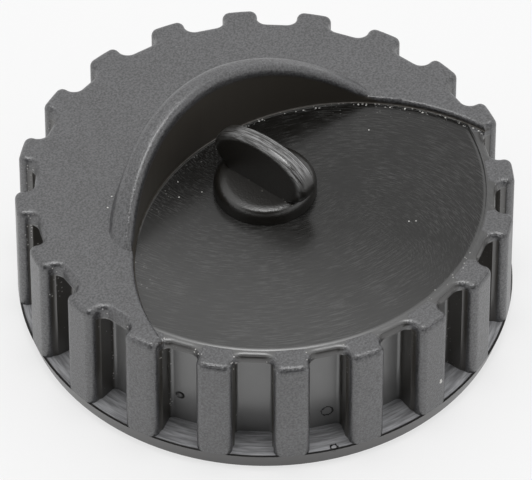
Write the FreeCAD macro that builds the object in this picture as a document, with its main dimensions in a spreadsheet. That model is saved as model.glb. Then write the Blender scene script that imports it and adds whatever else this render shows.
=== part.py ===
import FreeCAD, Part
import math
import os

import Sketcher

# Tank filler cap with a screwed air vent. Units are millimetres. The origin is the centre
# of the bottom edge, +Z points up and +Y points to the middle of the raised guard.

SIZES = {
    # Outside of the ribbed cap
    "outer_radius": 45.0,
    "base_taper": 1.0,
    "base_height": 3.4,
    "plateau_height": 27.0,
    "rib_count": 20,
    "notch_width": 7.3,
    "notch_depth": 3.6,
    "pocket_depth": 6.2,
    "pocket_step": 0.3,
    "lip_thickness": 2.8,
    "top_round": 1.2,
    "corner_margin": 0.15,
    "rib_flank": 0.1,
    "pocket_corner": 0.8,
    # Inside of the cap and its neck thread
    "plate_thickness": 2.9,
    "skirt_wall": 2.6,
    "pilot_relief": 0.8,
    "pilot_length": 3.0,
    "thread_depth": 1.8,
    "thread_root": 3.4,
    "thread_crest": 1.6,
    "thread_pitch": 5.0,
    "thread_turns": 2.2,
    "thread_start": 6.0,
    # Dished face and the step round it
    "step_depth": 1.2,
    "dish_offset": 24.7,
    "dish_radius": 40.0,
    "dish_foot": 0.25,
    "dish_lip": 0.6,
    "face_margin": 1.6,
    "face_recess": 0.2,
    # Raised guard behind the vent knob
    "guard_height": 12.8,
    "guard_arch_radius": 40.8,
    "guard_thickness": 4.3,
    "guard_outer_radius": 34.5,
    "guard_outer_draft": 14.5,
    "guard_inner_draft": 1.0,
    "guard_inner_round": 1.2,
    "guard_outer_round": 2.4,
    # Neck gasket and the rib that centres it
    "gasket_width": 7.9,
    "gasket_thickness": 2.5,
    "gasket_clearance": 0.3,
    "locating_rib_width": 1.2,
    "locating_rib_height": 1.5,
    # Vent screw with its boss, seal and clip
    "screw_radius": 3.95,
    "screw_clearance": 0.1,
    "boss_wall": 3.4,
    "boss_length": 7.3,
    "seal_width": 1.9,
    "seal_height": 1.5,
    "seal_clearance": 0.05,
    "seal_seat_gap": 0.3,
    "vent_travel": 1.9,
    "vent_slot_width": 1.6,
    "vent_slot_depth": 1.2,
    "clip_thickness": 1.0,
    "clip_width": 2.9,
    "clip_groove_depth": 0.9,
    "clip_clearance": 0.05,
    "clip_opening": 4.0,
    "clip_gap": 0.15,
    "tip_length": 1.4,
    "tip_chamfer": 0.5,
    # Vent knob
    "knob_radius": 9.3,
    "knob_base": 2.6,
    "knob_round": 1.1,
    "knob_gap": 0.1,
    "fin_half_length": 10.6,
    "fin_half_height": 5.8,
    "fin_centre": 3.7,
    "fin_foot_thickness": 4.4,
    "fin_top_thickness": 3.4,
    "fin_round": 1.2,
    "fin_angle": 8.2,
}

# How far a cutter runs past what it cuts, and how deep a piece is rooted in the next
OVERCUT = 1.0
ROOTED = 0.3
UP = FreeCAD.Vector(0, 0, 1)

doc = FreeCAD.newDocument("tank_filler_cap")
sheet = doc.addObject("Spreadsheet::Sheet", "sizes")
for row, (alias, value) in enumerate(SIZES.items(), start=1):
    sheet.set("A%d" % row, str(value))
    sheet.setAlias("A%d" % row, alias)
doc.recompute()


class Size:
    """A number together with the sheet expression that gives it."""

    def __init__(self, value, text):
        self.value = value
        self.text = text

    def __add__(self, other):
        other = as_size(other)
        return Size(self.value + other.value, "(%s + %s)" % (self.text, other.text))

    def __sub__(self, other):
        other = as_size(other)
        return Size(self.value - other.value, "(%s - %s)" % (self.text, other.text))

    def __mul__(self, other):
        other = as_size(other)
        return Size(self.value * other.value, "(%s * %s)" % (self.text, other.text))

    def __truediv__(self, other):
        other = as_size(other)
        return Size(self.value / other.value, "(%s / %s)" % (self.text, other.text))

    def __neg__(self):
        return Size(-self.value, "(0 - %s)" % self.text)


def as_size(number):
    """Lets a plain number stand in an expression of sizes."""
    return number if isinstance(number, Size) else Size(float(number), repr(float(number)))


def root(square):
    """The square root of a size."""
    return Size(math.sqrt(square.value), "sqrt(%s)" % square.text)


def slope(angle):
    """The tangent of an angle that the sheet holds in degrees."""
    return Size(math.tan(math.radians(angle.value)), "tan(%s * 1 deg)" % angle.text)


def cell(alias):
    """One driving dimension."""
    return Size(SIZES[alias], "sizes." + alias)


ZERO = as_size(0)


def bind(feature, name, length):
    """Ties a feature's property to the sheet."""
    feature.setExpression(name, as_size(length).text)


def new_body(label):
    """An empty body with its own origin planes."""
    body = doc.addObject("PartDesign::Body", label)
    body.Label = label
    doc.recompute()
    return body


def plane_of(body, role):
    """One of a body's own origin planes."""
    return [item for item in body.Origin.OriginFeatures if item.Role == role][0]


def pin(sketch, geometry, point, horizontal, length):
    """Fixes one coordinate of a sketch point."""
    axis = -2 if horizontal else -1
    kind = "DistanceX" if horizontal else "DistanceY"
    if length is ZERO:
        sketch.addConstraint(Sketcher.Constraint("PointOnObject", geometry, point, axis))
        return
    ends = (-1, 1, geometry, point) if length.value > 0 else (geometry, point, -1, 1)
    index = sketch.addConstraint(Sketcher.Constraint(kind, *ends, abs(length.value)))
    bound = length if length.value > 0 else -length
    bind(sketch, "Constraints[%d]" % index, bound)


def draw(body, name, role, corners, arcs=None, lift=None, turn=None):
    """A closed sketch through corners; arcs maps a corner to the centre and radius of the
    arc that leaves it."""
    arcs = arcs or {}
    sketch = body.newObject("Sketcher::SketchObject", name)
    sketch.AttachmentSupport = [(plane_of(body, role), "")]
    sketch.MapMode = "FlatFace"
    sketch.AttachmentOffset = FreeCAD.Placement(FreeCAD.Vector(), FreeCAD.Rotation(UP, 1))
    bind(sketch, "AttachmentOffset.Base.z", lift or ZERO)
    sketch.setExpression("AttachmentOffset.Rotation.Angle", "%s * 1 deg" % as_size(turn or 0).text)
    spots = [FreeCAD.Vector(x.value, y.value, 0) for x, y in corners]
    starts = []
    ends = []
    for i, here in enumerate(spots):
        there = spots[(i + 1) % len(spots)]
        if i not in arcs:
            sketch.addGeometry(Part.LineSegment(here, there), False)
            starts.append(1)
            ends.append(2)
            continue
        centre, radius = arcs[i]
        middle = FreeCAD.Vector(centre[0].value, centre[1].value, 0)
        first = math.atan2(here.y - middle.y, here.x - middle.x)
        last = math.atan2(there.y - middle.y, there.x - middle.x)
        forward = (last - first) % (2 * math.pi) < math.pi
        if not forward:
            first, last = last, first
        if last < first:
            last += 2 * math.pi
        circle = Part.Circle(middle, UP, radius.value)
        sketch.addGeometry(Part.ArcOfCircle(circle, first, last), False)
        starts.append(1 if forward else 2)
        ends.append(2 if forward else 1)
    for i, (x, y) in enumerate(corners):
        before = (i - 1) % len(corners)
        sketch.addConstraint(Sketcher.Constraint("Coincident", before, ends[before], i, starts[i]))
        pin(sketch, i, starts[i], True, x)
        pin(sketch, i, starts[i], False, y)
        if i in arcs:
            index = sketch.addConstraint(Sketcher.Constraint("Radius", i, arcs[i][1].value))
            bind(sketch, "Constraints[%d]" % index, arcs[i][1])
    doc.recompute()
    return sketch


def revolve(body, name, corners, arcs=None):
    """Turns a section drawn in radius and height about the body's own Z axis."""
    sketch = draw(body, name + "_section", "XZ_Plane", corners, arcs)
    feature = body.newObject("PartDesign::Revolution", name)
    feature.Profile = sketch
    feature.ReferenceAxis = (sketch, ["V_Axis"])
    feature.Angle = 360
    doc.recompute()
    return feature


def cut_up(body, name, sketch, length):
    """Cuts a sketch upwards out of the body."""
    feature = body.newObject("PartDesign::Pocket", name)
    feature.Profile = sketch
    feature.Reversed = True
    bind(feature, "Length", length)
    doc.recompute()
    return feature


def part_shape(kind, label, sizes, place=None):
    """A primitive whose sizes, and whose place if it has one, are tied to the sheet."""
    feature = doc.addObject("Part::" + kind, label)
    for name, length in sizes.items():
        bind(feature, name, length)
    for axis, length in (place or {}).items():
        bind(feature, "Placement.Base." + axis, length)
    return feature


def combine(kind, label, first, second):
    """A boolean of two features."""
    feature = doc.addObject("Part::" + kind, label)
    feature.Base = first
    feature.Tool = second
    return feature


# Levels and radii that several pieces share
outer = cell("outer_radius")
plateau = cell("plateau_height")
rim_level = plateau - cell("step_depth")
face_level = rim_level - cell("face_recess")
underside = rim_level - cell("plate_thickness")
base_top = cell("base_height")
lip_underside = plateau - cell("lip_thickness")
notch_floor = outer - cell("notch_depth")
face_radius = notch_floor - cell("face_margin")
pocket_floor = outer - cell("pocket_depth")
bore = pocket_floor - cell("skirt_wall")
pilot = bore + cell("pilot_relief")
gasket_outer = bore - cell("gasket_clearance")
gasket_inner = gasket_outer - cell("gasket_width")
rib_outer = gasket_inner - cell("gasket_clearance")
rib_inner = rib_outer - cell("locating_rib_width")
rib_underside = underside - cell("locating_rib_height")
screw = cell("screw_radius")
screw_bore = screw + cell("screw_clearance")
boss_radius = screw_bore + cell("boss_wall")
boss_underside = underside - cell("boss_length")
seal_outer = screw + cell("seal_clearance") + cell("seal_width")
seat_radius = seal_outer + cell("seal_seat_gap")
knob_underside = face_level + cell("knob_gap")
seal_underside = knob_underside - cell("seal_height")
seat_level = seal_underside - cell("seal_clearance")


# Ribbed outline, shared by the shell and the plateau. The rib's corner is a little rounder
# than the top's edge, a short flank follows, and the notch's corner takes up the other depth.
edge = cell("top_round") + cell("corner_margin")
notch_width = cell("notch_width")
shoulder = notch_width / 2 + edge
shoulder_height = root((outer - edge) * (outer - edge) - shoulder * shoulder)
notch_corner = shoulder_height - cell("rib_flank") - notch_floor


def notch_sketch(body, name, floor, width, corner, flared):
    """One notch between two ribs, half a pitch from +Y, drawn at the base ring's top."""
    half = width / 2
    reach = outer + OVERCUT
    foot = floor + corner
    inner = half - corner
    if flared:
        touch_x = shoulder * outer / (outer - edge)
        touch_y = shoulder_height * outer / (outer - edge)
        right = [(half, foot), (half, shoulder_height), (touch_x, touch_y), (touch_x, reach)]
        left = [(-touch_x, reach), (-touch_x, touch_y), (-half, shoulder_height), (-half, foot)]
        arcs = {2: ((shoulder, shoulder_height), edge), 6: ((-shoulder, shoulder_height), edge)}
    else:
        right = [(half, foot), (half, reach)]
        left = [(-half, reach), (-half, foot)]
        arcs = {}
    corners = [(inner, floor)] + right + left + [(-inner, floor)]
    arcs[0] = ((inner, foot), corner)
    arcs[len(corners) - 2] = ((-inner, foot), corner)
    half_pitch = as_size(180) / cell("rib_count")
    return draw(body, name, "XY_Plane", corners, arcs, lift=base_top, turn=half_pitch)


def round_top(body, base, level, name):
    """Rounds the whole outer edge of a ribbed top."""
    edges = []
    for number, edge in enumerate(base.Shape.Edges, start=1):
        box = edge.BoundBox
        flat = abs(box.ZMin - level.value) < 1e-4 and abs(box.ZMax - level.value) < 1e-4
        middle = edge.valueAt((edge.FirstParameter + edge.LastParameter) / 2)
        if flat and math.hypot(middle.x, middle.y) > notch_floor.value - ROOTED:
            edges.append("Edge%d" % number)
    feature = body.newObject("PartDesign::Fillet", name)
    feature.Base = (base, edges)
    bind(feature, "Radius", cell("top_round"))
    body.Tip = feature
    doc.recompute()
    return feature


def notch_ring(body, originals, name):
    """Repeats the notch features round the cap."""
    feature = body.newObject("PartDesign::PolarPattern", name)
    feature.Originals = originals
    feature.Axis = (originals[0].Profile[0], ["N_Axis"])
    feature.Angle = 360
    bind(feature, "Occurrences", cell("rib_count"))
    body.Tip = feature
    doc.recompute()
    return feature


# Shell: skirt, plate, flange, boss and centring rib, turned from one section
shell = new_body("ribbed_shell")
revolve(shell, "shell_turning", [
    (pilot, ZERO),
    (outer - cell("base_taper"), ZERO),
    (outer, base_top),
    (outer, rim_level),
    (face_radius, rim_level),
    (face_radius, face_level),
    (seat_radius, face_level),
    (seat_radius, seat_level),
    (screw_bore, seat_level),
    (screw_bore, boss_underside),
    (boss_radius, boss_underside),
    (boss_radius, underside),
    (rib_inner, underside),
    (rib_inner, rib_underside),
    (rib_outer, rib_underside),
    (rib_outer, underside),
    (bore, underside),
    (bore, cell("pilot_length") + cell("pilot_relief")),
    (pilot, cell("pilot_length")),
])

# Neck thread: a coarse ridge inside the skirt
thread_middle = cell("thread_start") + cell("thread_root") / 2
thread_sketch = draw(shell, "thread_section", "XZ_Plane", [
    (bore + ROOTED, thread_middle - cell("thread_root") / 2),
    (bore + ROOTED, thread_middle + cell("thread_root") / 2),
    (bore - cell("thread_depth"), thread_middle + cell("thread_crest") / 2),
    (bore - cell("thread_depth"), thread_middle - cell("thread_crest") / 2),
])
thread = shell.newObject("PartDesign::AdditiveHelix", "neck_thread")
thread.Profile = thread_sketch
thread.ReferenceAxis = (thread_sketch, ["V_Axis"])
thread.Mode = 1
bind(thread, "Pitch", cell("thread_pitch"))
bind(thread, "Turns", cell("thread_turns"))
doc.recompute()

# Notches between the ribs, with a deeper pocket under the lip
pocket_width = notch_width - cell("pocket_step") * 2
notch_outline = notch_sketch(shell, "notch_outline", notch_floor, notch_width, notch_corner, True)
notch = cut_up(shell, "notch", notch_outline, plateau)
pocket_outline = notch_sketch(
    shell, "pocket_outline", pocket_floor, pocket_width, cell("pocket_corner"), False)
pocket = cut_up(shell, "pocket", pocket_outline, lip_underside - base_top)
round_top(shell, notch_ring(shell, [notch, pocket], "ribs"), rim_level, "rib_tops")

# Plateau: the part of the top that stands a step above the dished face. It starts half way
# between the foot of the shell's rounding and the lip's underside, so that it covers the first.
slab_bottom = (rim_level - cell("top_round") + lip_underside) / 2
slab = new_body("plateau_slab")
revolve(slab, "slab_turning", [
    (ZERO, slab_bottom),
    (outer, slab_bottom),
    (outer, plateau),
    (ZERO, plateau),
])
slab_outline = notch_sketch(slab, "slab_outline", notch_floor, notch_width, notch_corner, True)
slab_notch = cut_up(slab, "slab_notch", slab_outline, plateau)
round_top(slab, notch_ring(slab, [slab_notch], "slab_ribs"), plateau, "slab_edge")

# Dish: one turned cutter forms the step, its foot and its lip
dish = new_body("dish_cutter")
bind(dish, "Placement.Base.y", -cell("dish_offset"))
step_wall = cell("dish_radius")
step_foot = step_wall - cell("dish_foot")
lip_edge = step_wall + cell("dish_lip")
dish_top = plateau + OVERCUT
revolve(dish, "dish_turning", [
    (ZERO, slab_bottom - OVERCUT),
    (step_foot, slab_bottom - OVERCUT),
    (step_foot, rim_level),
    (step_wall, rim_level + cell("dish_foot")),
    (step_wall, plateau - cell("dish_lip")),
    (lip_edge, plateau),
    (lip_edge, dish_top),
    (ZERO, dish_top),
], {
    2: ((step_foot, rim_level + cell("dish_foot")), cell("dish_foot")),
    4: ((lip_edge, plateau - cell("dish_lip")), cell("dish_lip")),
})
plateau_piece = combine("Cut", "plateau_piece", slab, dish)

# Guard: an arched crescent between a drafted outer cone and the wall of the dish
guard_top = plateau + cell("guard_height")
guard_rise = guard_top - slab_bottom
guard_crest = step_wall - cell("dish_offset") + cell("guard_thickness")
guard_cone = part_shape("Cone", "guard_cone", {
    "Radius1": cell("guard_outer_radius") + guard_rise * slope(cell("guard_outer_draft")),
    "Radius2": cell("guard_outer_radius"),
    "Height": guard_rise,
}, {"y": guard_crest - cell("guard_outer_radius"), "z": slab_bottom})
guard_hollow = part_shape("Cone", "guard_hollow", {
    "Radius1": step_wall,
    "Radius2": step_wall + (guard_rise + OVERCUT) * slope(cell("guard_inner_draft")),
    "Height": guard_rise + OVERCUT,
}, {"y": -cell("dish_offset"), "z": slab_bottom})
guard_arch = part_shape("Cylinder", "guard_arch", {
    "Radius": cell("guard_arch_radius"),
    "Height": outer * 2,
})
guard_arch.Placement.Rotation = FreeCAD.Rotation(FreeCAD.Vector(1, 0, 0), 90)
bind(guard_arch, "Placement.Base.y", outer)
bind(guard_arch, "Placement.Base.z", guard_top - cell("guard_arch_radius"))
guard_crescent = combine("Cut", "guard_crescent", guard_cone, guard_hollow)
guard_block = combine("Common", "guard_block", guard_crescent, guard_arch)
doc.recompute()


def arch_edges(shape):
    """The guard's top edges along the arch, each with its rounding."""
    height = (guard_top - cell("guard_arch_radius")).value
    half_way = step_wall + cell("guard_thickness") / 2
    radii = {}
    for number, edge in enumerate(shape.Edges, start=1):
        middle = edge.valueAt((edge.FirstParameter + edge.LastParameter) / 2)
        on_arch = abs(math.hypot(middle.x, middle.z - height) - cell("guard_arch_radius").value) < 1e-3
        if on_arch and edge.Length > cell("guard_outer_radius").value:
            from_dish = math.hypot(middle.x, middle.y + cell("dish_offset").value)
            side = "guard_inner_round" if from_dish < half_way.value else "guard_outer_round"
            radii[number] = cell(side)
    return radii


def round_edges(label, base, radii):
    """Rounds the numbered edges of a feature."""
    feature = doc.addObject("Part::Fillet", label)
    feature.Base = base
    feature.Edges = [(number, radius.value, radius.value) for number, radius in radii.items()]
    return feature


guard = round_edges("guard", guard_block, arch_edges(guard_block.Shape))

raised_top = combine("Fuse", "raised_top", plateau_piece, guard)
cap_body = combine("Fuse", "cap_body", shell, raised_top)
doc.recompute()

# Neck gasket: a flat rubber ring under the plate
gasket = new_body("neck_gasket")
revolve(gasket, "gasket_turning", [
    (gasket_inner, underside - cell("gasket_thickness")),
    (gasket_outer, underside - cell("gasket_thickness")),
    (gasket_outer, underside),
    (gasket_inner, underside),
])

# Vent knob: round base, screw and finger fin in one moulding
clip_top = boss_underside - cell("vent_travel") - cell("clip_gap")
clip_bottom = clip_top - cell("clip_thickness")
groove_radius = screw - cell("clip_groove_depth")
groove_top = clip_top + cell("clip_clearance")
groove_bottom = clip_bottom - cell("clip_clearance")
tip_level = groove_bottom - cell("tip_length")
base_level = knob_underside + cell("knob_base")
knob_round = cell("knob_round")
knob = new_body("knob_turning")
revolve(knob, "knob_section", [
    (ZERO, tip_level),
    (screw - cell("tip_chamfer"), tip_level),
    (screw, tip_level + cell("tip_chamfer")),
    (screw, groove_bottom),
    (groove_radius, groove_bottom),
    (groove_radius, groove_top),
    (screw, groove_top),
    (screw, knob_underside),
    (cell("knob_radius"), knob_underside),
    (cell("knob_radius"), base_level - knob_round),
    (cell("knob_radius") - knob_round, base_level),
    (ZERO, base_level),
], {9: ((cell("knob_radius") - knob_round, base_level - knob_round), knob_round)})
slot_floor = screw - cell("vent_slot_depth")
slot_side = cell("vent_slot_width") / 2
slot_outline = draw(knob, "slot_outline", "XY_Plane", [
    (slot_floor, -slot_side),
    (screw + OVERCUT, -slot_side),
    (screw + OVERCUT, slot_side),
    (slot_floor, slot_side),
], lift=tip_level - OVERCUT)
cut_up(knob, "vent_slot", slot_outline, seal_underside - tip_level + OVERCUT)

# Fin: an oval plate that narrows towards its top
fin_plane = base_level + cell("fin_centre")
fin_top = fin_plane + cell("fin_half_height")
fin_foot = base_level - ROOTED
fin_reach = cell("fin_half_length") + OVERCUT
fin_oval = part_shape("Ellipse", "fin_oval", {
    "MajorRadius": cell("fin_half_length"),
    "MinorRadius": cell("fin_half_height"),
})
fin_oval.Placement.Rotation = FreeCAD.Rotation(FreeCAD.Vector(0, 1, 0), 90) * FreeCAD.Rotation(
    FreeCAD.Vector(0, 0, 1), 90)
bind(fin_oval, "Placement.Base.z", fin_plane)
bind(fin_oval, "Placement.Base.x", -cell("fin_foot_thickness"))
fin_plate = doc.addObject("Part::Extrusion", "fin_plate")
fin_plate.Base = fin_oval
fin_plate.DirMode = "Custom"
fin_plate.Dir = FreeCAD.Vector(1, 0, 0)
fin_plate.Solid = True
bind(fin_plate, "LengthFwd", cell("fin_foot_thickness") * 2)
fin_taper = doc.addObject("Part::Wedge", "fin_taper")
half_foot = cell("fin_foot_thickness") / 2
half_top = cell("fin_top_thickness") / 2
for name, length in {
    "Xmin": -half_foot, "Xmax": half_foot, "X2min": -half_top, "X2max": half_top,
    "Ymin": ZERO, "Ymax": fin_top - fin_foot + OVERCUT,
    "Zmin": -fin_reach, "Zmax": fin_reach, "Z2min": -fin_reach, "Z2max": fin_reach,
}.items():
    bind(fin_taper, name, length)
fin_taper.Placement.Rotation = FreeCAD.Rotation(FreeCAD.Vector(1, 0, 0), 90)
bind(fin_taper, "Placement.Base.z", fin_foot)
fin_block = combine("Common", "fin_block", fin_plate, fin_taper)
doc.recompute()


def rim_edges(shape):
    """The curved edges round the two faces of the fin, with their rounding."""
    radii = {}
    for number, edge in enumerate(shape.Edges, start=1):
        if edge.BoundBox.ZMax - edge.BoundBox.ZMin > cell("fin_half_height").value:
            radii[number] = cell("fin_round")
    return radii


fin = round_edges("fin", fin_block, rim_edges(fin_block.Shape))
vent_knob = combine("Fuse", "vent_knob", knob, fin)
vent_knob.Placement.Rotation = FreeCAD.Rotation(UP, 1)
vent_knob.setExpression("Placement.Rotation.Angle", cell("fin_angle").text + " * 1 deg")

# Vent seal: a squeezed rubber ring under the knob's base
seal = new_body("vent_seal_ring")
seal_inner = screw + cell("seal_clearance")
seal_round = cell("seal_height") / 2
seal_middle = seal_underside + seal_round
revolve(seal, "seal_turning", [
    (seal_inner, seal_middle),
    (seal_inner + seal_round, seal_underside),
    (seal_outer - seal_round, seal_underside),
    (seal_outer, seal_middle),
    (seal_outer - seal_round, knob_underside),
    (seal_inner + seal_round, knob_underside),
], {
    0: ((seal_inner + seal_round, seal_middle), seal_round),
    2: ((seal_outer - seal_round, seal_middle), seal_round),
    3: ((seal_outer - seal_round, seal_middle), seal_round),
    5: ((seal_inner + seal_round, seal_middle), seal_round),
})

# Retaining clip: an open spring ring that keeps the screw in its boss
clip = new_body("retaining_clip")
clip_inner = groove_radius + cell("clip_clearance")
clip_outer = clip_inner + cell("clip_width")
revolve(clip, "clip_turning", [
    (clip_inner, clip_bottom),
    (clip_outer, clip_bottom),
    (clip_outer, clip_top),
    (clip_inner, clip_top),
])
mouth_side = cell("clip_opening") / 2
mouth_outline = draw(clip, "mouth_outline", "XY_Plane", [
    (-mouth_side, -clip_outer - OVERCUT),
    (mouth_side, -clip_outer - OVERCUT),
    (mouth_side, ZERO),
    (-mouth_side, ZERO),
], lift=clip_bottom - OVERCUT)
cut_up(clip, "clip_mouth", mouth_outline, cell("clip_thickness") + OVERCUT * 2)

doc.recompute()

# Check and write each piece
pieces = [cap_body, gasket, vent_knob, seal, clip]
faults = [item.Name for item in doc.Objects if "Invalid" in item.State or "Error" in item.State]
if faults:
    raise RuntimeError("features that failed: " + ", ".join(faults))
for piece in pieces:
    if piece.Shape.isNull() or not piece.Shape.isValid() or len(piece.Shape.Solids) != 1:
        raise RuntimeError("not one valid solid: " + piece.Label)
os.makedirs("parts", exist_ok=True)
for piece in pieces:
    piece.Shape.exportStep("parts/%s.step" % piece.Label)
    print(piece.Label, round(piece.Shape.Volume, 1), "mm3")
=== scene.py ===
import math

import bpy
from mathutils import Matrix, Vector


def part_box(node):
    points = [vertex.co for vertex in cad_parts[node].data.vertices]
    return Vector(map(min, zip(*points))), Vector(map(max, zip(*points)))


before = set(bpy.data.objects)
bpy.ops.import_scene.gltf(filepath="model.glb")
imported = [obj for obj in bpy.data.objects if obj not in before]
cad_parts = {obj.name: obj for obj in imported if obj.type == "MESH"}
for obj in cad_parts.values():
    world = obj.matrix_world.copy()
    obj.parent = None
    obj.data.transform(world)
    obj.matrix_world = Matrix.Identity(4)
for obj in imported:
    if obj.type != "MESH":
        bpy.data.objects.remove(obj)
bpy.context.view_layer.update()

# Cap body
# One injection moulding in black plastic. The tool left a fine spark-eroded grain on the ribs,
# the plateau and the guard. The dished face was polished and has been wiped many times.
MM = 0.001
CAP_LOW, CAP_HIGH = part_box("cap_body")

# Its sizes, in millimetres: heights, the ribs round it, the dish and the guard
OUTER = CAP_HIGH.x / MM
PLATEAU = 27.0
RIM = 25.8
FACE = 25.6
UNDER_LIP = 24.2
LEDGE = 3.4
RIB_PITCH = 18.0
NOTCH_FLOOR = 41.4
NOTCH_HALF = 3.65
POCKET_HALF = 3.35
POCKET_FLOOR = 38.8
FACE_RADIUS = 40.1
FACE_EASING = 39.0
DISH_OFFSET = 24.7
WALL_RADIUS = 40.0
FOOT_RADIUS = 39.75
GUARD_EASING = 2.2
ARCH_RADIUS = 40.8
ARCH_CENTRE = -1.0
LEFT_WIPES = (7.1, 13.3)
RIGHT_WIPES = (-1.7, -24.3)
GATE_MARK = (-35.22, -16.33, 9.7)
LINT_CURL = (-16.83, -34.97, 7.1)
LINT_END = (-19.47, -39.74, 3.4)
GRAIN_DEPTH = 0.09
DUST_HEIGHT = 0.06
LINT_HEIGHT = 0.15
GATE_DEPTH = 0.3

# Its colours
GRAIN_PIT = (0.002, 0.002, 0.0022, 1)
GRAIN_CREST = (0.090, 0.090, 0.096, 1)
# A painted glint for the few bright facets of the grain
GRAIN_FACET_GLINT = (0.24, 0.24, 0.25, 1)
FACE_CLEAN = (0.006, 0.0055, 0.0045, 1)
# The lighter colour of the face's scratches and dust, and of its painted sheen
FACE_WEAR_AND_SHEEN = (0.120, 0.120, 0.118, 1)
# The ledges' pale greys are a painted sheen over the machining lines
LEDGE_SHEEN_GROOVE = (0.24, 0.24, 0.25, 1)
LEDGE_SHEEN_CREST = (0.60, 0.605, 0.625, 1)
LEDGE_EDGE_SHADE = (0.012, 0.011, 0.010, 1)
POCKET_DARK = (0.118, 0.118, 0.117, 1)
POCKET_PALE = (0.160, 0.160, 0.159, 1)
SIDE_SHADE = (0.042, 0.038, 0.032, 1)
SIDE_GLINT = (0.30, 0.30, 0.28, 1)
BASE_DARK = (0.008, 0.006, 0.005, 1)
BASE_PALE = (0.020, 0.017, 0.016, 1)
WALL_PLAIN = (0.052, 0.046, 0.038, 1)
LIP_SHADE = (0.012, 0.010, 0.008, 1)
DUST_PALE = (0.80, 0.79, 0.76, 1)
GATE_RING = (0.17, 0.17, 0.17, 1)
GATE_MIDDLE = (0.006, 0.006, 0.005, 1)
LINT_DARK = (0.008, 0.007, 0.006, 1)

# Single spots of dust: place and radius
DUST_SPOTS = (
    ((-10.5, 11.8, FACE), 0.15), ((-12.9, 8.8, FACE), 0.17), ((-9.0, 7.0, FACE), 0.13),
    ((-22.6, 16.0, PLATEAU), 0.16), ((-25.0, 14.4, PLATEAU), 0.18),
    ((13.6, -23.3, FACE), 0.15), ((14.6, -24.1, FACE), 0.14), ((23.9, -1.6, FACE), 0.15),
    ((1.54, -44.98, 9.4), 0.38), ((1.50, -44.98, 9.9), 0.28),
)


class Finish:
    """A material whose nodes are added by one method."""

    def __init__(self, name):
        self.material = bpy.data.materials.new(name)
        self.material.use_nodes = True
        self.tree = self.material.node_tree
        self.tree.nodes.clear()

    def add(self, kind, settings=None, sockets=None, output=0):
        """Adds a node, sets it up, feeds its sockets and returns one of its outputs."""
        node = self.tree.nodes.new(kind)
        for name, choice in (settings or {}).items():
            setattr(node, name, choice)
        for name, feed in (sockets or {}).items():
            if isinstance(feed, Term):
                self.tree.links.new(feed.socket, node.inputs[name])
            else:
                node.inputs[name].default_value = feed
        return Term(self, node.outputs[output])

    def place(self):
        """The Object coordinates in millimetres, together and one by one."""
        here = self.add("ShaderNodeTexCoord", output="Object")
        sockets = {0: here, "Scale": 1 / MM}
        scaled = self.add("ShaderNodeVectorMath", {"operation": "SCALE"}, sockets)
        axes = [self.add("ShaderNodeSeparateXYZ", None, {0: scaled}, axis) for axis in range(3)]
        return scaled, *axes

    def join(self, x, y, z):
        """A place from its three parts."""
        return self.add("ShaderNodeCombineXYZ", None, {0: x, 1: y, 2: z})

    def noise(self, where, scale, detail=2.0, roughness=0.5):
        sockets = {"Vector": where, "Scale": scale, "Detail": detail, "Roughness": roughness}
        return self.add("ShaderNodeTexNoise", {"normalize": True}, sockets)

    def specks(self, where, spacing, size, share):
        """Round specks of about one size, in a share of the cells that are a spacing wide."""
        sockets = {"Vector": where, "Scale": 1 / spacing}
        from_middle = self.add("ShaderNodeTexVoronoi", None, sockets, "Distance") * spacing
        chance = self.add("ShaderNodeTexVoronoi", None, sockets, "Color")
        return from_middle.fall(size * 0.4, size * 0.6) * chance.fall(share, share + 0.01)

    def distance(self, where, middle):
        """How far each point is from a place."""
        sockets = {0: where, 1: middle}
        return self.add("ShaderNodeVectorMath", {"operation": "DISTANCE"}, sockets, "Value")

    def spot(self, where, middle, size):
        """1 inside a small round place, with a soft edge."""
        return self.distance(where, middle).fall(size * 0.8, size)

    def wipes(self, x, y, middle):
        """Fine streaks that run in short arcs about a middle."""
        beside = x - middle[0]
        beyond = y - middle[1]
        away = (beside * beside + beyond * beyond) ** 0.5
        turn = beyond.angle(beside)
        return self.noise(self.join(away * 4.0, turn * 11.0, 0.0), 1.0, 3.0, 0.7)

    def blend(self, mask, first, second):
        """first where the mask is 0, second where it is 1."""
        sockets = {"Factor": mask, 6: first, 7: second}
        return self.add("ShaderNodeMix", {"data_type": "RGBA"}, sockets, output=2)

    def bump(self, height, distance, strength=1.0):
        sockets = {"Height": height, "Distance": distance, "Strength": strength}
        return self.add("ShaderNodeBump", None, sockets)

    def end(self, shader):
        """Sends a shader to the material's output."""
        output = self.tree.nodes.new("ShaderNodeOutputMaterial")
        self.tree.links.new(shader.socket, output.inputs["Surface"])

    def surface(self, sockets):
        """Ends the tree in one Principled shader."""
        self.end(self.add("ShaderNodeBsdfPrincipled", None, sockets))


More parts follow.
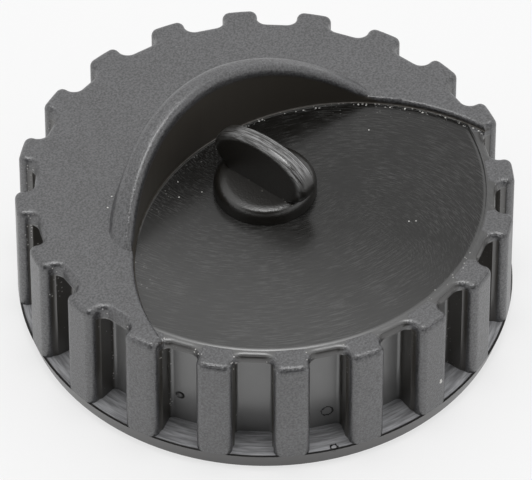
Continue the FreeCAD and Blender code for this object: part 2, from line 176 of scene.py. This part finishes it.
class Term:
    """A value worked out at each point of a surface. Sums of terms add Math nodes."""

    def __init__(self, finish, socket):
        self.finish = finish
        self.socket = socket

    def maths(self, operation, first, second=0.0):
        return self.finish.add("ShaderNodeMath", {"operation": operation}, {0: first, 1: second})

    def __add__(self, other):
        return self.maths("ADD", self, other)

    def __radd__(self, other):
        return self.maths("ADD", other, self)

    def __sub__(self, other):
        return self.maths("SUBTRACT", self, other)

    def __rsub__(self, other):
        return self.maths("SUBTRACT", other, self)

    def __mul__(self, other):
        return self.maths("MULTIPLY", self, other)

    def __rmul__(self, other):
        return self.maths("MULTIPLY", other, self)

    def __truediv__(self, other):
        return self.maths("DIVIDE", self, other)

    def __mod__(self, other):
        return self.maths("MODULO", self, other)

    def __pow__(self, other):
        return self.maths("POWER", self, other)

    def __abs__(self):
        return self.maths("ABSOLUTE", self)

    def sine(self):
        return self.maths("SINE", self)

    def angle(self, other):
        """The angle whose tangent is this term over the other."""
        return self.maths("ARCTAN2", self, other)

    def at_most(self, limit):
        return self.maths("MINIMUM", self, limit)

    def at_least(self, limit):
        return self.maths("MAXIMUM", self, limit)

    def rise(self, low, high):
        """0 up to low, 1 from high, and a smooth step between them."""
        sockets = {"Value": self, "From Min": low, "From Max": high}
        return self.finish.add("ShaderNodeMapRange", {"interpolation_type": "SMOOTHSTEP"}, sockets)

    def fall(self, low, high):
        """1 up to low, 0 from high."""
        return 1 - self.rise(low, high)

    def within(self, low, high, soft=0.05):
        """1 between two values, with soft edges."""
        return self.rise(low - soft, low) * self.fall(high, high + soft)


def cap_finish():
    """The moulded plastic of the cap, with each tool surface in its place."""
    finish = Finish("cap_plastic")

    # Places: from the cap's axis, from the nearest notch's middle and from the dish's middle
    where, x, y, z = finish.place()
    radius = (x * x + y * y) ** 0.5
    turn = y.angle(x) * math.degrees(1)
    from_notch = (turn + 360.0) % RIB_PITCH - RIB_PITCH / 2
    across = abs(radius * (from_notch * math.radians(1)).sine())
    from_dish = y + DISH_OFFSET
    dish = (x * x + from_dish * from_dish) ** 0.5

    # Where each tool surface lies
    in_dish = dish.fall(FOOT_RADIUS - 0.05, FOOT_RADIUS + 0.05)
    in_notch = across.fall(NOTCH_HALF - 0.3, NOTCH_HALF + 0.3)
    past_face = radius - (in_notch * (NOTCH_FLOOR - FACE_RADIUS) + FACE_RADIUS)
    face = past_face.fall(-0.03, 0.07) * in_dish * z.rise(UNDER_LIP + 0.2, UNDER_LIP + 0.4)
    arch = (ARCH_RADIUS * ARCH_RADIUS - x * x).at_least(0.0) ** 0.5 + ARCH_CENTRE
    below_top = arch.at_least(PLATEAU) - z - (arch - PLATEAU).rise(0.0, 3.0) * 1.1
    wall = dish.within(FOOT_RADIUS, WALL_RADIUS + 0.7) * z.rise(FACE, RIM)
    wall = wall * below_top.rise(0.5, 1.2)
    # Painted shade: the front of each notch's lip, under the rim, is painted dark
    lip_front = radius.within(NOTCH_FLOOR - 0.6, NOTCH_FLOOR + 0.2, 0.3)
    painted_lip_shade = in_notch * in_dish * lip_front * z.within(UNDER_LIP, RIM - 0.4, 0.2)
    skirt = radius.within(10.0, POCKET_FLOOR - 0.4) * z.fall(UNDER_LIP - 0.4, UNDER_LIP - 0.2)
    notch = z.within(LEDGE + 0.05, UNDER_LIP + 0.1, 0.3)
    notch = notch * radius.within(POCKET_FLOOR - 0.1, OUTER - 1.6)
    side = notch * across.rise(POCKET_HALF - 0.35, POCKET_HALF - 0.1)
    ledge = z.within(LEDGE - 0.04, LEDGE + 0.04, 0.02) * radius.within(POCKET_FLOOR - 0.8, OUTER)
    base = z.fall(LEDGE - 0.1, LEDGE - 0.05)

    # Grain: fine pits, and painted glints on a few bright facets
    pits = finish.noise(where, 2.6, 2.0, 0.7)
    cloud = finish.noise(where, 0.16, 3.0, 0.5)
    facet_glints = finish.specks(where, 0.75, 0.22, 0.10)
    grain = pits.rise(0.30, 0.70) + (cloud - 0.5) * 0.3
    grain_colour = finish.blend(grain, GRAIN_PIT, GRAIN_CREST)
    grain_colour = finish.blend(facet_glints * 0.7, grain_colour, GRAIN_FACET_GLINT)

    # Wiping scratches: two sets of short arcs, one on each side of the face
    on_right = x.rise(2.0, 14.0)
    left_streaks = finish.wipes(x, y, LEFT_WIPES)
    streaks = left_streaks + (finish.wipes(x, y, RIGHT_WIPES) - left_streaks) * on_right
    patches = finish.noise(where, 0.11, 2.0, 0.5)
    scratch = streaks.rise(0.42, 0.74) * (patches.rise(0.30, 0.60) * 0.7 + 0.3)
    # Painted sheen: the face is painted lighter towards the front left, mixed with the scratches
    # and dust
    painted_sheen = (x * -0.9 - y * 0.45).rise(-4.0, 34.0)
    motes = finish.specks(where, 1.6, 0.24, 0.04)
    wear_and_sheen = (scratch * 0.40 + painted_sheen * 0.42 + motes * 0.4).at_most(1.0)
    face_colour = finish.blend(wear_and_sheen, FACE_CLEAN, FACE_WEAR_AND_SHEEN)

    # Machining lines that the tool left on the ledges, painted pale grey as a painted sheen, and
    # the pocket walls behind them
    lines = finish.noise(finish.join(radius * 2.2, turn * 0.12, z * 0.4), 1.0, 3.0, 0.7)
    ledge_sheen_and_shade = finish.blend(lines.rise(0.3, 0.7), LEDGE_SHEEN_GROOVE, LEDGE_SHEEN_CREST)
    # Painted shade: a dark band along the ledge's outer edge
    painted_edge_shade = radius.rise(OUTER - 0.55, OUTER - 0.35)
    ledge_sheen_and_shade = finish.blend(painted_edge_shade, ledge_sheen_and_shade, LEDGE_EDGE_SHADE)
    pocket_colour = finish.blend(cloud, POCKET_DARK, POCKET_PALE)
    # Painted shade: the rib side walls are painted darker than the pocket walls, with a few pale
    # specks on them
    glints = finish.specks(where, 0.8, 0.28, 0.16)
    painted_side_shade = finish.blend(glints * 0.6, SIDE_SHADE, SIDE_GLINT)
    base_colour = finish.blend(pits, BASE_DARK, BASE_PALE)

    # Each surface's colour goes over the grain, the later ones over the earlier
    colour = grain_colour
    for mask, tint in (
        (notch, pocket_colour),
        (side, painted_side_shade),
        (skirt, pocket_colour),
        (ledge, ledge_sheen_and_shade),
        (base, base_colour),
        (wall, WALL_PLAIN),
        (face, face_colour),
        (painted_lip_shade, LIP_SHADE),
    ):
        colour = finish.blend(mask, colour, tint)

    # Pale dust along the foot of the step, and on the face and the rim beside it
    grit = finish.specks(where, 0.55, 0.36, 0.55)
    fine_grit = finish.specks(where, 0.6, 0.28, 0.40)
    low = z.fall(FACE + 0.15, FACE + 0.3)
    foot = dish.within(FOOT_RADIUS - 0.4, FOOT_RADIUS + 0.1, 0.15)
    foot_grit = foot * low * grit * x.rise(2.0, 14.0)
    foot_line = dish.within(FOOT_RADIUS - 0.12, FOOT_RADIUS + 0.12) * low * y.rise(5.0, 8.0)
    near_foot = dish.rise(FOOT_RADIUS - 5.0, FOOT_RADIUS - 0.5) * face
    near_grit = near_foot * fine_grit * patches.rise(0.45, 0.6)
    rim = radius.within(FACE_RADIUS - 0.9, FACE_RADIUS + 0.4, 0.2)
    rim_grit = rim * x.within(4.0, 21.0, 2.0) * y.fall(-34.0, -32.0) * fine_grit

    # Pale dust in the corners of the notches, mostly to the left, and of the left pockets
    front_left = x.fall(-22.0, -12.0) * 0.85 + 0.15
    corners = across.within(2.2, NOTCH_HALF + 0.5, 0.3) * z.within(UNDER_LIP - 5.0, RIM - 0.2, 1.5)
    corners = corners * radius.within(NOTCH_FLOOR - 0.6, NOTCH_FLOOR + 2.4) * front_left
    deep_corners = across.within(POCKET_HALF - 0.5, POCKET_HALF + 0.1, 0.2) * x.fall(-30.0, -24.0)
    deep_corners = deep_corners * radius.within(POCKET_FLOOR - 0.2, POCKET_FLOOR + 0.6, 0.3)
    deep_corners = deep_corners * z.within(LEDGE + 4.0, UNDER_LIP - 2.0, 3.0)
    corner_grit = (corners + deep_corners) * fine_grit

    dust = foot_grit + foot_line * 0.14 + near_grit * 0.25 + corner_grit * 0.9 + rim_grit * 0.5
    for middle, size in DUST_SPOTS:
        dust = dust + finish.spot(where, middle, size)
    dust = dust.at_most(1.0)
    colour = finish.blend(dust * 0.9, colour, DUST_PALE)

    # Gate mark on a pocket wall to the left, and curls of lint stuck in two front pockets
    gate = finish.distance(where, GATE_MARK)
    colour = finish.blend(gate.within(0.95, 1.15, 0.1) * 0.5, colour, GATE_RING)
    colour = finish.blend(gate.within(0.3, 0.85, 0.15), colour, GATE_MIDDLE)
    ragged = (pits - 0.5) * 0.9
    curl = (finish.distance(where, LINT_CURL) + ragged).within(0.95, 1.15, 0.06)
    curl_end = (finish.distance(where, LINT_END) + ragged).within(0.5, 0.7, 0.06)
    curls = (curl + curl_end).at_most(1.0)
    colour = finish.blend(curls, colour, LINT_DARK)

    # Gloss: the wall and the face are polished, the face less so where it is eased or scratched
    smooth = (notch + skirt + ledge + base).at_most(1.0)
    eased = radius.rise(FACE_EASING, FACE_RADIUS - 0.5)
    polished = (wall + face * (1 - eased) + base * 0.5).at_most(1.0)
    rough = 0.34 - smooth * 0.04 - face * 0.10 + face * (scratch + eased) * 0.11 + dust * 0.4

    # Relief in millimetres: the grain, and the soft easing of the face's and the guard's edges
    past_easing = (radius - FACE_EASING).at_least(0.0).at_most(FACE_RADIUS - FACE_EASING)
    before_wall = (WALL_RADIUS + GUARD_EASING - dish).at_least(0.0).at_most(GUARD_EASING)
    on_guard = (arch - PLATEAU).rise(0.4, 2.4) * (1 - in_dish)
    easing = past_easing * past_easing * 0.22 * in_dish * z.rise(FACE - 0.2, FACE - 0.1)
    easing = easing + before_wall * before_wall * 0.10 * on_guard
    grained_here = 1 - (smooth + wall + face).at_most(1.0)
    raised = pits * grained_here * GRAIN_DEPTH + dust * DUST_HEIGHT + curls * LINT_HEIGHT
    relief = raised - gate.fall(0.5, 0.9) * GATE_DEPTH - easing

    # Two shaders: the grain gives back more light than the polished, dusty and linty places
    look = {"Base Color": colour, "Roughness": rough, "Normal": finish.bump(relief, MM)}
    grained = finish.add("ShaderNodeBsdfPrincipled", None, {**look, "IOR": 2.0})
    glossy = finish.add("ShaderNodeBsdfPrincipled", None, look)
    plain = (polished + dust + curls).at_most(1.0)
    finish.end(finish.add("ShaderNodeMixShader", None, {0: plain, 1: grained, 2: glossy}))
    return finish.material


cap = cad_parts["cap_body"]
cap.data.materials.clear()
cap.data.materials.append(cap_finish())

# Vent knob
# One moulding of round base, oval finger fin and vent screw, in the same black plastic with
# a satin finish. Fingers have rubbed the fin's edge shiny and streaked it along its length; the
# streaks there carry a painted highlight.
KNOB_FACE = 28.3
KNOB_RADIUS = 9.3
KNOB_EASING = 6.6
FIN_TURN = math.radians(8.2)
FIN_MIDDLE = KNOB_FACE + 3.7
FIN_HALF_LENGTH = 10.6
FIN_HALF_HEIGHT = 5.8
KNOB_DARK = (0.0068, 0.0056, 0.0038, 1)
KNOB_PALE = (0.0095, 0.0081, 0.0060, 1)
FIN_STREAK_HIGHLIGHT = (0.28, 0.28, 0.28, 1)
FIN_GRIT = (0.40, 0.39, 0.36, 1)


def knob_finish():
    """The knob's satin plastic, rubbed along the fin's edge, with a painted highlight on the
    rubbed streaks.
    """
    finish = Finish("knob_plastic")
    where, x, y, z = finish.place()
    along = y * math.cos(FIN_TURN) - x * math.sin(FIN_TURN)
    beside = x * math.cos(FIN_TURN) + y * math.sin(FIN_TURN)
    from_axis = (x * x + y * y) ** 0.5

    # The rubbed edge and its painted highlight: past most of the fin's oval, and more so towards
    # the front
    up_fin = (z - FIN_MIDDLE) / FIN_HALF_HEIGHT
    along_fin = along / FIN_HALF_LENGTH
    edge = (up_fin * up_fin + along_fin * along_fin) ** 0.5
    rub_wear_and_highlight = edge.rise(0.80, 0.94) * along.rise(-10.4, -8.4) * (along.fall(1.0, 9.0) * 0.75 + 0.25)
    rub_wear_and_highlight = rub_wear_and_highlight * z.rise(KNOB_FACE + 1.5, KNOB_FACE + 3.5)
    streaks = finish.noise(finish.join(beside * 4.2, along * 0.20, z * 0.25), 1.0, 3.0, 0.7)

    # Colour, with a painted highlight on the rubbed streaks and grit along the fin's foot
    cloud = finish.noise(where, 0.8, 4.0, 0.6)
    colour = finish.blend(cloud, KNOB_DARK, KNOB_PALE)
    colour = finish.blend(rub_wear_and_highlight * streaks.rise(0.40, 0.62) * 0.9, colour, FIN_STREAK_HIGHLIGHT)
    fin_foot = abs(beside).within(1.9, 3.0, 0.2) * z.within(KNOB_FACE - 0.1, KNOB_FACE + 0.3)
    grit = finish.specks(where, 0.7, 0.22, 0.35) * fin_foot
    colour = finish.blend(grit * 0.7, colour, FIN_GRIT)

    # Gloss, and relief in millimetres: fine grain, streaks and the soft edge of the base
    rough = 0.32 - rub_wear_and_highlight * 0.10 + rub_wear_and_highlight * streaks.rise(0.45, 0.65) * 0.20
    fine = finish.noise(where, 2.8, 2.0, 0.6)
    past_easing = (from_axis - KNOB_EASING).at_least(0.0).at_most(KNOB_RADIUS - KNOB_EASING)
    easing = past_easing * past_easing * 0.12 * z.fall(KNOB_FACE + 0.1, KNOB_FACE + 0.2)
    relief = fine * (0.055 - rub_wear_and_highlight * 0.035) + streaks * rub_wear_and_highlight * 0.012 - easing
    finish.surface({
        "Base Color": colour,
        "Roughness": rough,
        "Specular IOR Level": 1.0,
        "Normal": finish.bump(relief, MM),
    })
    return finish.material


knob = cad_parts["vent_knob"]
knob.data.materials.clear()
knob.data.materials.append(knob_finish())

# Neck gasket and vent seal
# Two rings of black rubber. The gasket is cut from sheet and lies under the cap's top plate.
# The seal is moulded and sits round the vent screw, under the knob's base.


def rubber_finish(name, dark, pale):
    """Black rubber with a thin grey bloom."""
    finish = Finish(name)
    where = finish.place()[0]
    bloom = finish.noise(where, 0.5, 3.0, 0.6)
    fine = finish.noise(where, 4.0, 2.0, 0.5)
    finish.surface({
        "Base Color": finish.blend(bloom, dark, pale),
        "Roughness": 0.55 + bloom * 0.3,
        "Normal": finish.bump(fine, 0.03 * MM, 0.5),
    })
    return finish.material


for name, dark, pale in (
    ("neck_gasket", (0.014, 0.014, 0.014, 1), (0.034, 0.033, 0.031, 1)),
    ("vent_seal_ring", (0.008, 0.008, 0.008, 1), (0.018, 0.018, 0.017, 1)),
):
    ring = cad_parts[name]
    ring.data.materials.clear()
    ring.data.materials.append(rubber_finish(name, dark, pale))

# Retaining clip
# An open ring stamped from stainless spring steel, pushed into the groove of the vent screw.
# It is brushed along one direction, as the strip was.
CLIP_DARK = (0.42, 0.42, 0.43, 1)
CLIP_PALE = (0.62, 0.62, 0.63, 1)


def clip_finish():
    """Bare spring steel with straight brush marks."""
    finish = Finish("clip_steel")
    x, y, z = finish.place()[1:]
    brushed = finish.noise(finish.join(x * 0.3, y * 4.0, z), 1.0, 3.0, 0.6)
    colour = finish.blend(brushed, CLIP_DARK, CLIP_PALE)
    finish.surface({"Base Color": colour, "Metallic": 1.0, "Roughness": 0.26 + brushed * 0.16})
    return finish.material


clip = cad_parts["retaining_clip"]
clip.data.materials.clear()
clip.data.materials.append(clip_finish())

# Camera
# A long lens at the picture's angle. The middle of the cap's bottom shows at ORIGIN_PIXEL. The
# distance is in cap radii, and one radius there covers PIXELS_PER_RADIUS.
PICTURE = (532, 480)
ORIGIN_PIXEL = (265.2, 286.6)
AZIMUTH = math.radians(-42.15)
ELEVATION = math.radians(46.52)
CAP_RADIUS = 0.045
RADII_AWAY = 28.3
PIXELS_PER_RADIUS = 246.74
DISTANCE = RADII_AWAY * CAP_RADIUS
PIXELS_PER_RADIAN = PIXELS_PER_RADIUS * RADII_AWAY
SENSOR = 36.0

away = Vector((
    math.sin(AZIMUTH) * math.cos(ELEVATION),
    -math.cos(AZIMUTH) * math.cos(ELEVATION),
    math.sin(ELEVATION),
))
right = Vector((math.cos(AZIMUTH), math.sin(AZIMUTH), 0))
up = away.cross(right)
pixel = DISTANCE / PIXELS_PER_RADIAN
aim = right * (PICTURE[0] / 2 - ORIGIN_PIXEL[0]) * pixel
aim = aim + up * (ORIGIN_PIXEL[1] - PICTURE[1] / 2) * pixel
lens = bpy.data.cameras.new("camera")
lens.sensor_width = SENSOR
lens.lens = PIXELS_PER_RADIAN * SENSOR / PICTURE[0]
lens.clip_start = 0.05
lens.clip_end = 20.0
camera = bpy.data.objects.new("camera", lens)
camera.location = away * DISTANCE
camera.rotation_euler = (aim - camera.location).to_track_quat("-Z", "Y").to_euler()
bpy.context.collection.objects.link(camera)
bpy.context.scene.camera = camera

# Floor
# A plain pale sheet under the cap. It glows a little where it is seen or mirrored, so that it
# reads as near white while it keeps the cap's shadow.
FLOOR_HALF = 3.0
PAPER = (0.94, 0.94, 0.94, 1)
PAPER_ROUGHNESS = 0.9
PAPER_GLOW = 0.96
GLOW_SHARE = 0.7

floor_mesh = bpy.data.meshes.new("floor")
floor_mesh.from_pydata([
    (-FLOOR_HALF, -FLOOR_HALF, CAP_LOW.z),
    (FLOOR_HALF, -FLOOR_HALF, CAP_LOW.z),
    (FLOOR_HALF, FLOOR_HALF, CAP_LOW.z),
    (-FLOOR_HALF, FLOOR_HALF, CAP_LOW.z),
], [], [(0, 1, 2, 3)])
floor = bpy.data.objects.new("floor", floor_mesh)
bpy.context.collection.objects.link(floor)
paper = Finish("paper")
sheet_look = {"Base Color": PAPER, "Roughness": PAPER_ROUGHNESS}
sheet = paper.add("ShaderNodeBsdfPrincipled", None, sheet_look)
lit = paper.add("ShaderNodeEmission", None, {"Color": (1, 1, 1, 1), "Strength": PAPER_GLOW})
seen = paper.add("ShaderNodeLightPath", output="Is Camera Ray")
for ray in ("Is Glossy Ray", "Is Transmission Ray"):
    seen = seen + paper.add("ShaderNodeLightPath", output=ray)
share = seen.at_most(1.0) * GLOW_SHARE
paper.end(paper.add("ShaderNodeMixShader", None, {0: share, 1: sheet, 2: lit}))
floor_mesh.materials.append(paper.material)

# Lights
# One large soft light overhead, a little to the front, in a pale room that is dark only round
# the camera's place.
LAMP_FORWARD = 0.05
LAMP_HEIGHT = 1.15
LAMP_WIDTH = 0.42
LAMP_POWER = 4.2
ROOM_LIGHT = 1.12
ROOM_DARK = 0.05
DARK_ELEVATION = math.radians(38.0)
DARK_CONE = math.radians(27.0)
LIGHT_CONE = math.radians(46.0)

to_front = Vector((away.x, away.y, 0)).normalized()
lamp_data = bpy.data.lights.new("overhead", "AREA")
lamp_data.shape = "SQUARE"
lamp_data.size = LAMP_WIDTH
lamp_data.energy = LAMP_POWER
lamp = bpy.data.objects.new("overhead", lamp_data)
lamp.location = to_front * LAMP_FORWARD + Vector((0, 0, LAMP_HEIGHT))
lamp.rotation_euler = lamp.location.to_track_quat("Z", "Y").to_euler()
bpy.context.collection.objects.link(lamp)

room = bpy.data.worlds.new("room")
room.use_nodes = True
room_nodes = room.node_tree.nodes
room_links = room.node_tree.links
room_nodes.clear()
dark_middle = to_front * math.cos(DARK_ELEVATION)
dark_middle.z = math.sin(DARK_ELEVATION)
direction = room_nodes.new("ShaderNodeTexCoord")
facing = room_nodes.new("ShaderNodeVectorMath")
facing.operation = "DOT_PRODUCT"
facing.inputs[1].default_value = dark_middle
spread = room_nodes.new("ShaderNodeMapRange")
spread.interpolation_type = "SMOOTHSTEP"
spread.inputs["From Min"].default_value = math.cos(LIGHT_CONE)
spread.inputs["From Max"].default_value = math.cos(DARK_CONE)
spread.inputs["To Min"].default_value = ROOM_LIGHT
spread.inputs["To Max"].default_value = ROOM_DARK
glow = room_nodes.new("ShaderNodeBackground")
world_end = room_nodes.new("ShaderNodeOutputWorld")
room_links.new(direction.outputs["Generated"], facing.inputs[0])
room_links.new(facing.outputs["Value"], spread.inputs["Value"])
room_links.new(spread.outputs["Result"], glow.inputs["Strength"])
room_links.new(glow.outputs["Background"], world_end.inputs["Surface"])
bpy.context.scene.world = room
bpy.context.scene.view_settings.view_transform = "Standard"
